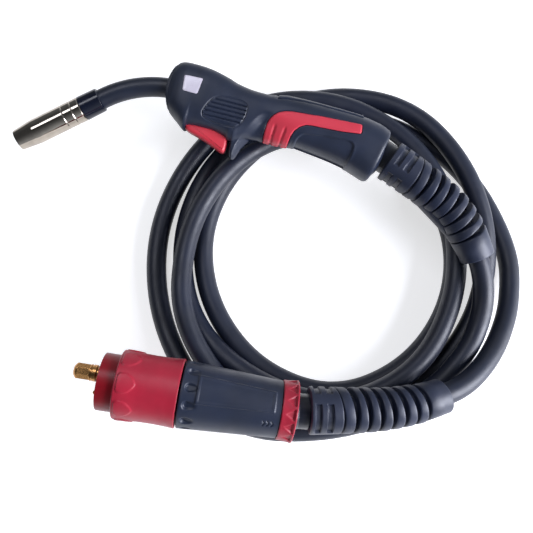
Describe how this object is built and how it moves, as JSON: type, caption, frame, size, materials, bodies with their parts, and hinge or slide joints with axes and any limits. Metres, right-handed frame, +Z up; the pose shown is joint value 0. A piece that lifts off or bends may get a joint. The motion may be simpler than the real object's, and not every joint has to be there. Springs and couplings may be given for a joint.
{
  "type": "mig welding torch",
  "caption": "Gas-cooled MIG welding torch with swan neck, trigger handle, ribbed boots, coiled cable and central plug.",
  "frame": {"origin": "centre of the plug insulator's front face, on the connector's axis, 64 mm above the floor", "axes": "+Z up; +X along the length of the torch, from the plug towards the cable boots, 8.8 degrees off the connector's axis; +Y from the connector towards the handle"},
  "size_m": [0.4502, 0.3289, 0.0903],
  "materials": {
    "cable_rubber": "satin extruded rubber",
    "boot_rubber": "satin moulded rubber",
    "handle_nylon": "fine moulded grain",
    "joint_nylon": "smooth",
    "red_rubber": "soft touch",
    "red_plastic": "moulded satin",
    "dark_red_plastic": "moulded gloss",
    "badge_white": "gloss, blank",
    "brass": "turned",
    "copper": "drawn copper",
    "chrome": "plated, polished",
    "steel": "plain spring and screw steel",
    "white_insulator": "moulded glass-filled insulator",
    "black_insulator": "moulded, semi-gloss"
  },
  "bodies": {
    "cable": {"cable_coil": "cable_rubber", "cable_handle_lead": "cable_rubber", "cable_connector_lead": "cable_rubber", "handle_boot": "boot_rubber", "connector_boot": "boot_rubber", "handle_ball": "joint_nylon", "connector_ball": "joint_nylon", "handle_cable_core": "copper", "connector_cable_core": "copper"},
    "handle_knuckle": {"handle_ball_cup": "joint_nylon"},
    "handle": {"handle_shell_upper": "handle_nylon", "handle_shell_lower": "handle_nylon", "front_band": "handle_nylon", "grip_insert_upper": "red_rubber", "grip_insert_lower": "red_rubber", "side_pad_upper": "handle_nylon", "side_pad_lower": "handle_nylon", "badge_plate_upper": "badge_white", "badge_plate_lower": "badge_white", "back_strip": "handle_nylon", "shell_screws": "steel", "trigger_pin": "steel", "trigger_spring": "steel", "switch_body": "black_insulator", "swan_neck_tube": "brass", "swan_neck_sleeve": "black_insulator", "wire_liner": "steel", "neck_block": "brass", "cable_coupler": "brass", "handle_conductor": "copper", "neck_end_ring": "black_insulator", "nozzle_split_ring": "steel", "gas_diffuser": "white_insulator", "tip_holder": "brass", "contact_tip": "copper"},
    "trigger": {"trigger": "red_plastic"},
    "plunger": {"switch_plunger": "red_plastic"},
    "nozzle": {"gas_nozzle": "chrome"},
    "connector_knuckle": {"connector_ball_cup": "joint_nylon"},
    "connector": {"plug_insulator": "dark_red_plastic", "plug_body": "brass", "gas_spigot": "brass", "spigot_o_ring": "boot_rubber", "liner_nut": "brass", "contact_sleeves": "brass", "pin_springs": "steel", "retaining_clip": "steel", "connector_barrel": "handle_nylon", "barrel_panel": "handle_nylon", "barrel_screws": "steel", "rear_ring": "red_plastic", "rear_crimp": "brass", "connector_conductor": "copper"},
    "collar_nut": {"collar_nut": "red_plastic"},
    "pin_a": {"contact_pin_a": "brass"},
    "pin_b": {"contact_pin_b": "brass"}
  },
  "joints": [
    {"name": "handle_swing", "type": "hinge", "parent": "cable", "child": "handle_knuckle", "pos_m": [0.21501, 0.19834, -0.00401], "axis": [0, 0, -1], "range_deg": [0, 16]},
    {"name": "handle_tilt", "type": "hinge", "parent": "handle_knuckle", "child": "handle", "pos_m": [0.21501, 0.19834, -0.00401], "axis": [0.2924, 0.9563, 0], "range_deg": [0, 4.5]},
    {"name": "trigger_pull", "type": "hinge", "parent": "handle", "child": "trigger", "pos_m": [0.06279, 0.22013, -0.00373], "axis": [-0.0354, -0.2598, 0.965], "range_deg": [0, 6], "stiffness_Nm_per_rad": 0.2, "springref_deg": -8.59},
    {"name": "plunger_press", "type": "slide", "parent": "handle", "child": "plunger", "axis": [0.2932, 0.9204, 0.2586], "range_m": [0, 0.0018]},
    {"name": "nozzle_pull", "type": "slide", "parent": "handle", "child": "nozzle", "axis": [-0.8925, -0.4262, -0.1475], "range_m": [0, 0.03]},
    {"name": "connector_swing", "type": "hinge", "parent": "cable", "child": "connector_knuckle", "pos_m": [0.13995, -0.02167, -0.00494], "axis": [0, 0, 1], "range_deg": [-10, 10]},
    {"name": "connector_tilt", "type": "hinge", "parent": "connector_knuckle", "child": "connector", "pos_m": [0.13995, -0.02167, -0.00494], "axis": [0.153, 0.9882, 0], "range_deg": [0, 10]},
    {"name": "collar_spin", "type": "hinge", "parent": "connector", "child": "collar_nut", "pos_m": [0.03556, -0.0055, -0.00126], "axis": [0.9876, -0.1529, -0.0349], "continuous": true},
    {"name": "pin_a_press", "type": "slide", "parent": "connector", "child": "pin_a", "axis": [0.9876, -0.1529, -0.0349], "range_m": [0, 0.003], "stiffness_N_per_m": 100, "springref_m": -0.002},
    {"name": "pin_b_press", "type": "slide", "parent": "connector", "child": "pin_b", "axis": [0.9876, -0.1529, -0.0349], "range_m": [0, 0.003], "stiffness_N_per_m": 100, "springref_m": -0.002}
  ],
  "couplings": [
    {"joint": "plunger_press", "follows": "trigger_pull", "m_per_rad": 0.0158}
  ]
}
